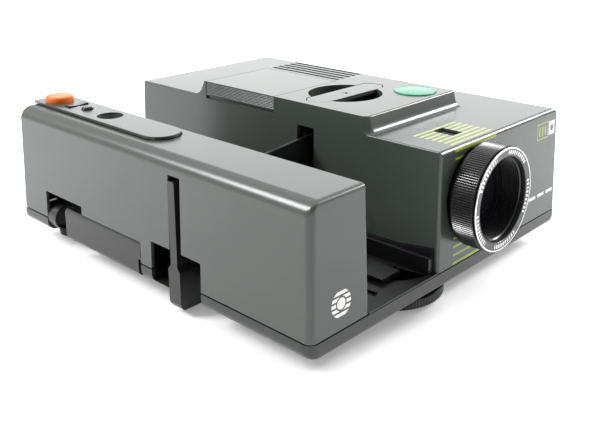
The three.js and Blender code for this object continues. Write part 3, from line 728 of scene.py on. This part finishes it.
def lamp_cover():
    cover = lamp_block("lamp_cover_shell", 0)
    dish_x, dish_y, dish_r, dish_floor = DISH
    archway = [(3.2, -2), (282, -2), (282, 10.6), (120, 10.6), (52, 11.2), (27, 12.4), (3.2, 16)]
    cut(cover, lamp_block("tool_cavity", WALL))
    join(
        cover,
        rod("z", dish_r + 2.5, dish_floor - 2, DECK_H - 0.8, dish_x, dish_y),
        box(GRIP[0] - 2.5, GRIP[1] + 2.5, GRIP[2] - 2.5, GRIP[3] + 2.5, 80, DECK_H - 0.8),
    )
    tools = [
        rod("z", dish_r, dish_floor, 100, dish_x, dish_y, 96),
        prism("z", grip_seat(0.4), 82.2, 100),
        box(126.4, 177, GATE_Y - 2.6, GATE_Y + 2.6, 60, 90),  # slot for the gate insert
        rod("z", POWER[2] + 0.35, 60, 100, POWER[0], POWER[1], 96),
        box(145.2, 155.7, 16.3, 31, 60, 90),  # indicator window
        rod("y", 28.9, -5, 10, AXIS_X, AXIS_Z, 96),  # lens mouth
        box(100, 116, 99.6, 114.7, 8, 70),  # slide slot, from the channel to the gate
        box(100, LID[0] + LID_GAP, LID[1] - LID_GAP, LID[2] + LID_GAP, LID[3] - 0.3, 95),
        box(100, LAMP_X + 3.2, LID[1], LID[2], 72.6, 75.0),  # step in the wall under the lid
        prism("x", archway, 100, 113.6),  # filled by the tray channel
        box(214.7, 243.3, 275, 290, 7.7, 29.3),  # power inlet
    ]
    # Vents: five slots right of the lid, nine in the right wall and two rows in the rear wall.
    tools += [box(179 + 6.2 * i, 182.2 + 6.2 * i, 138.5, 206.4, 70, 100) for i in range(5)]
    tools += [box(245, 260, 194 + 7.5 * i, 197.5 + 7.5 * i, 14, 58) for i in range(9)]
    for z in (40, 48):
        tools += [box(130 + 12 * i, 138 + 12 * i, 275, 290, z, z + 3.5) for i in range(6)]
    cut(cover, *tools)
    stand_in(cover, "lamp_cover", lamp_cover_look())


def lamp_lid():
    lid = lamp_block("lamp_lid_shell", 0)
    room = box(100, LID[0], LID[1], LID[2], LID[3], 95)
    combine(lid, [room], "INTERSECT")
    tools = [box(LAMP_X + 4.6, LID[0] - 2, LID[1] - 1, LID[2] + 1, 70, DECK_H - 2.4)]
    for i in range(8):
        z = LID[3] + 0.9 + 1.08 * i
        wall = LAMP_X + DRAFT * z
        notch = [
            (wall - 2, z), (wall, z), (wall + 0.35, z + 0.45), (wall + 1.0, z + 0.5), (wall + 1.0, z + 0.9),
            (wall - 2, z + 0.9),
        ]
        tools.append(prism("y", notch, LID[1] - 1, LID[2] + 1))
    cut(lid, *tools)
    stand_in(lid, "lamp_lid", LOOKS["cover_grey"])


def base_tray():
    radii = {"LD": 6.6, "RD": 6.6, "FD": 3.5, "BD": 6.6, "LF": 6.6, "RF": 1.5, "LB": 1.5, "RB": 1.5}
    tray = block("base_tray_shell", (0, BODY_W, 0, BODY_D, -BASE_H, -0.2), radii, 0.0, 8)
    floor = -BASE_H + 3
    tools = [
        box(-1, CHANGER_W, CHANGER_D, BODY_D + 1, -20, 1),  # the changer side is shorter
        box(3, CHANGER_W - 3, 3, CHANGER_D - 3, floor, 1),
        box(CHANGER_W, LAMP_X, 3, BODY_D - 3, floor, 1),
        box(LAMP_X + 3, BODY_W - 3, 3, BODY_D - 3, floor, 1),
        box(-1, 25, 86, 114.2, -20, 1),  # finger opening, in three steps
        box(-1, 5, 84, 114.2, -20, 1),
        box(-1, 25, 114, 129.4, -7.4, 1),
        box(-1, 8.2, 140.4, 249.4, -20, 1),  # handle opening, in two steps
        box(8, 42, 140.4, 251.4, -20, 1),
        rod("z", 7.4, -20, 1, *FOOT, 48),  # stem of the levelling foot
    ]
    tools += [box(122, 170, 166 + 6 * i, 169 + 6 * i, -20, 1) for i in range(7)]
    cut(tray, *tools)
    stand_in(tray, "base_tray", LOOKS["base_grey"], edge=0.3)


# ---------- lens ----------
def ribbed(teeth, tip, root, u, v):
    points = []
    for i in range(teeth):
        for part, r in ((0.0, root), (0.40, tip), (0.60, tip)):
            a = (i + part) / teeth * 2 * math.pi
            points.append((u + r * math.cos(a), v + r * math.sin(a)))
    return points


def focus_ring():
    rows = []
    for y, tip, root in ((-17.8, 31.4, 30.9), (-17.4, 32.15, 31.2), (-4.0, 32.15, 31.2), (-3.5, 31.4, 30.9)):
        rows.append([(x, y, z) for x, z in ribbed(132, tip, root, AXIS_X, AXIS_Z)])
    grip = rows_to_object("focus_ring_grip", rows)
    cut(grip, rod("y", 27.9, -30, 10, AXIS_X, AXIS_Z, 96))
    stand_in(grip, "focus_ring", LOOKS["ring_black"], suffix="grip")
    profile = [(27.9, -18.3), (29.2, -18.3), (29.6, -18.0), (29.6, -1.5), (29.3, -1.2), (27.9, -1.2)]
    profile.append(profile[0])
    neck = lathe("focus_ring_neck", profile, "y", AXIS_X, AXIS_Z)
    settle(neck, "focus_ring_neck", "focus_ring", "black_plastic", LOOKS["black_plastic"])


def front_bezel():
    f = RING_FRONT
    profile = [
        (26.3, -16.9), (26.3, f + 0.7), (26.6, f + 0.4), (30.7, f + 0.2), (30.85, f + 0.05), (31.1, f),
        (31.5, f + 0.1), (31.7, f + 0.4), (31.6, f + 0.75), (30.9, f + 1.0), (30.6, -18.6), (26.9, -18.6),
        (26.9, -16.9), (26.3, -16.9),
    ]
    ring = lathe("front_bezel_ring", profile, "y", AXIS_X, AXIS_Z, 144)
    stand_in(ring, "front_bezel", LOOKS["bezel"], suffix="ring")


def lens_barrel():
    profile = [(25.6, -16.6), (27.6, -16.6), (27.6, -1.2), (25.6, -1.2), (25.6, 74), (16.4, 74), (16.4, 66.6)]
    profile += [(24, 66.6), (24, 4.6), (22.4, 4.6), (22.4, -3.2)]
    y = -3.4
    while y > -15.6:
        profile += [(25.4, y - 0.15), (25.4, y - 0.75), (24.9, y - 0.95), (24.9, y - 1.25)]
        y -= 1.4
    profile.append((25.6, -16.6))
    barrel = lathe("lens_barrel_tube", profile, "y", AXIS_X, AXIS_Z)
    stand_in(barrel, "lens_barrel", LOOKS["black_plastic"], suffix="tube")


def lens_disc(node, radius, y0, y1, bulge, look):
    """A biconvex element with a fine ground edge."""
    steps = 10
    front = [(radius * k / steps, y0 - bulge * (1 - (k / steps) ** 2)) for k in range(steps + 1)]
    back = [(radius * k / steps, y1 + bulge * (1 - (k / steps) ** 2)) for k in range(steps, -1, -1)]
    disc = lathe(node + "_disc", front + back, "y", AXIS_X, AXIS_Z)
    stand_in(disc, node, look, suffix="disc")


def foot_wheel():
    """Fine ribs round the rim of the levelling foot, a chamfered underside and its threaded stem."""
    low, high, r = -18.6, -12.4, 34.0
    x, y = FOOT
    rows = []
    for z, tip, root in ((low - 1.8, r - 4.0, r - 4.0), (low, r - 0.6, r - 0.9), (low + 0.5, r, r - 0.55),
                         (high - 0.6, r, r - 0.55), (high, r - 0.8, r - 1.0)):
        rows.append([(u, v, z) for u, v in ribbed(96, tip, root, x, y)])
    wheel = rows_to_object("foot_wheel_rim", rows)
    cut(wheel, rod("z", r - 6, -14.4, -10, x, y, 48))
    profile = [(0, -15), (9, -15), (9, -12.4), (6, -12.4)]
    z = -12.4
    while z < -3.2:
        profile += [(6.0, z + 0.2), (5.4, z + 0.7), (5.4, z + 0.9), (6.0, z + 1.4)]
        z += 1.5
    join(wheel, lathe("foot_stem", profile + [(5.4, -1.6), (0, -1.6)], "z", x, y, 32))
    stand_in(wheel, "foot_wheel", LOOKS["black_plastic"], suffix="rim")


# ---------- controls ----------
def indicator_window():
    """A dark window with a small indicator bar behind it."""
    frame_box = box(145.5, 155.4, 16.6, 30.7, 71.8, 73.4)
    cut(frame_box, box(146.3, 154.6, 17.4, 29.9, 72.6, 80))
    join(frame_box, box(150.2, 151.4, 18.4, 28.4, 72, 73.2), box(147.2, 153.6, 22.8, 23.6, 72, 73.0))
    stand_in(frame_box, "indicator_window", MATT_BLACK, suffix="pane", edge=0.15)


def cap(node, centre, profile, look):
    made = lathe(node + "_cap", profile, "z", centre[0], centre[1])
    stand_in(made, node, look, suffix="cap")


def power_button():
    r = POWER[2]
    z = DECK_H
    profile = [(0, 78), (r - 1, 78), (r, 78.6), (r, z + 0.35), (r - 0.15, z + 0.6), (r - 0.5, z + 0.78)]
    profile += [(r - 1.0, z + 0.82), (r - 1.3, z + 0.6), (r - 1.7, z + 0.62)]
    profile += [(r * k / 10, z + 1.2 - 0.7 * (k / 10) ** 2) for k in (8, 6, 4, 2)]
    cap("power_button", POWER, profile + [(0, z + 1.2)], LOOKS["green"])


def advance_button():
    r = TRIGGER[2]
    profile = [(0, 69), (3.8, 69), (3.8, 71.2), (r - 0.3, 71.2), (r, 71.6), (r, 79.2), (r - 0.25, 79.8)]
    profile += [(r - 0.9, 80.25), (r - 1.8, 80.4), (r * 0.6, 80.55), (r * 0.3, 80.6), (0, 80.6)]
    cap("advance_button", TRIGGER, profile, LOOKS["orange"])


def soften_cad():
    """Rounded edges, clean shading and a material for every CAD node that still shows."""
    edges = {
        "tray_channel": 0.0006, "changer_arm": 0.0007, "carry_handle": 0.0008, "control_panel": 0.0009,
        "gate_insert": 0.0003, "focus_rocker": 0.0004, "pusher_plate": 0.0003, "foot_wheel": 0.0004,
    }
    for name, node in NODES.items():
        if node.hide_render:
            continue
        dress(node, edges.get(name, 0.0002), 0.000004)
        even_normals(node, False)
        for slot in node.material_slots:
            slot.material = MATT_BLACK if name in ("remote_socket", "gate_frame") else LOOKS[SLOT_OF[name]]


# ---------- stage ----------
def area_light(name, place, target, size, power):
    data = bpy.data.lights.new(name, "AREA")
    data.shape = "RECTANGLE"
    data.size, data.size_y = size
    data.energy = power
    light = bpy.data.objects.new(name, data)
    light.location = place
    aim = Vector(target) - Vector(place)
    light.rotation_euler = aim.to_track_quat("-Z", "Y").to_euler()
    bpy.context.scene.collection.objects.link(light)


def floor_look():
    look = Look("studio_floor", (0.9, 0.9, 0.9), 0.6, Emission_Strength=0.22)
    look.shader.inputs["Emission Color"].default_value = (1, 1, 1, 1)
    look.tint((0.90, 0.90, 0.90), (0.93, 0.93, 0.93), look.spread(look.noise(3, 2), 0, 1))
    return look.material


def stage():
    half = 6.0
    verts = [(-half, -half, 0), (half, -half, 0), (half, half, 0), (-half, half, 0)]
    floor = raw("studio_floor", verts, [(0, 1, 2, 3)])
    floor.data.materials.append(floor_look())
    bpy.context.scene.world = studio_world()
    bpy.context.scene.view_settings.view_transform = "Standard"
    area_light("overhead", (0.2, 0.3, 1.7), (0, 0, 0), (2.6, 2.2), 15)
    area_light("right_softbox", (1.55, -0.66, 1.0), (0, 0, 0.05), (0.45, 0.45), 30)
    area_light("left_softbox", (-1.07, 0.98, 1.14), (0, 0, 0.05), (0.6, 0.6), 30)
    area_light("backdrop", (3.2, 2.1, 1.1), (0, 0, 0.1), (4.6, 2.2), 42)


def studio_world():
    """White all round, dimmer on the side the camera stands."""
    world = bpy.data.worlds.new("studio")
    world.use_nodes = True
    tree = world.node_tree
    where = tree.nodes.new("ShaderNodeTexCoord").outputs["Generated"]
    toward = tree.nodes.new("ShaderNodeVectorMath")
    toward.operation = "DOT_PRODUCT"
    toward.inputs[1].default_value = (-0.70, -0.68, 0.22)
    tree.links.new(where, toward.inputs[0])
    level = tree.nodes.new("ShaderNodeMapRange")
    for name, value in (("From Min", 0.2), ("From Max", 0.95), ("To Min", 1.15), ("To Max", 0.25)):
        level.inputs[name].default_value = value
    tree.links.new(toward.outputs["Value"], level.inputs["Value"])
    tree.links.new(level.outputs[0], tree.nodes["Background"].inputs[1])
    tree.nodes["Background"].inputs[0].default_value = (1, 1, 1, 1)
    return world


def camera():
    """From the front left and a little above, with the picture shifted on the sensor."""
    yaw, pitch, roll = math.radians(46.50), math.radians(14.59), math.radians(-0.26)
    data = bpy.data.cameras.new("view")
    data.sensor_width = 36.0
    data.lens = 48.46
    data.shift_y = -0.1694
    data.clip_start = 0.01
    obj = bpy.data.objects.new("view", data)
    turn = Matrix.Rotation(-yaw, 4, "Z") @ Matrix.Rotation(math.pi / 2 - pitch, 4, "X")
    place = Matrix.Translation(plan(-260.45, -240.59, 213.37))
    obj.matrix_world = place @ turn @ Matrix.Rotation(roll, 4, "Z")
    bpy.context.scene.collection.objects.link(obj)
    bpy.context.scene.camera = obj


changer_cover()
lamp_cover()
lamp_lid()
base_tray()
focus_ring()
front_bezel()
lens_barrel()
lens_disc("front_glass", 22.1, -1.6, 2.4, 1.9, LENS_GLASS)
lens_disc("rear_glass", 23.7, 60.0, 64.4, 1.7, LENS_GLASS)
lens_disc("condenser_front", 22.0, 124.0, 128.0, 2.9, LOOKS["glass"])
lens_disc("condenser_rear", 22.0, 147.0, 151.0, 2.9, LOOKS["glass"])
power_button()
advance_button()
indicator_window()
foot_wheel()
soften_cad()
stage()
camera()
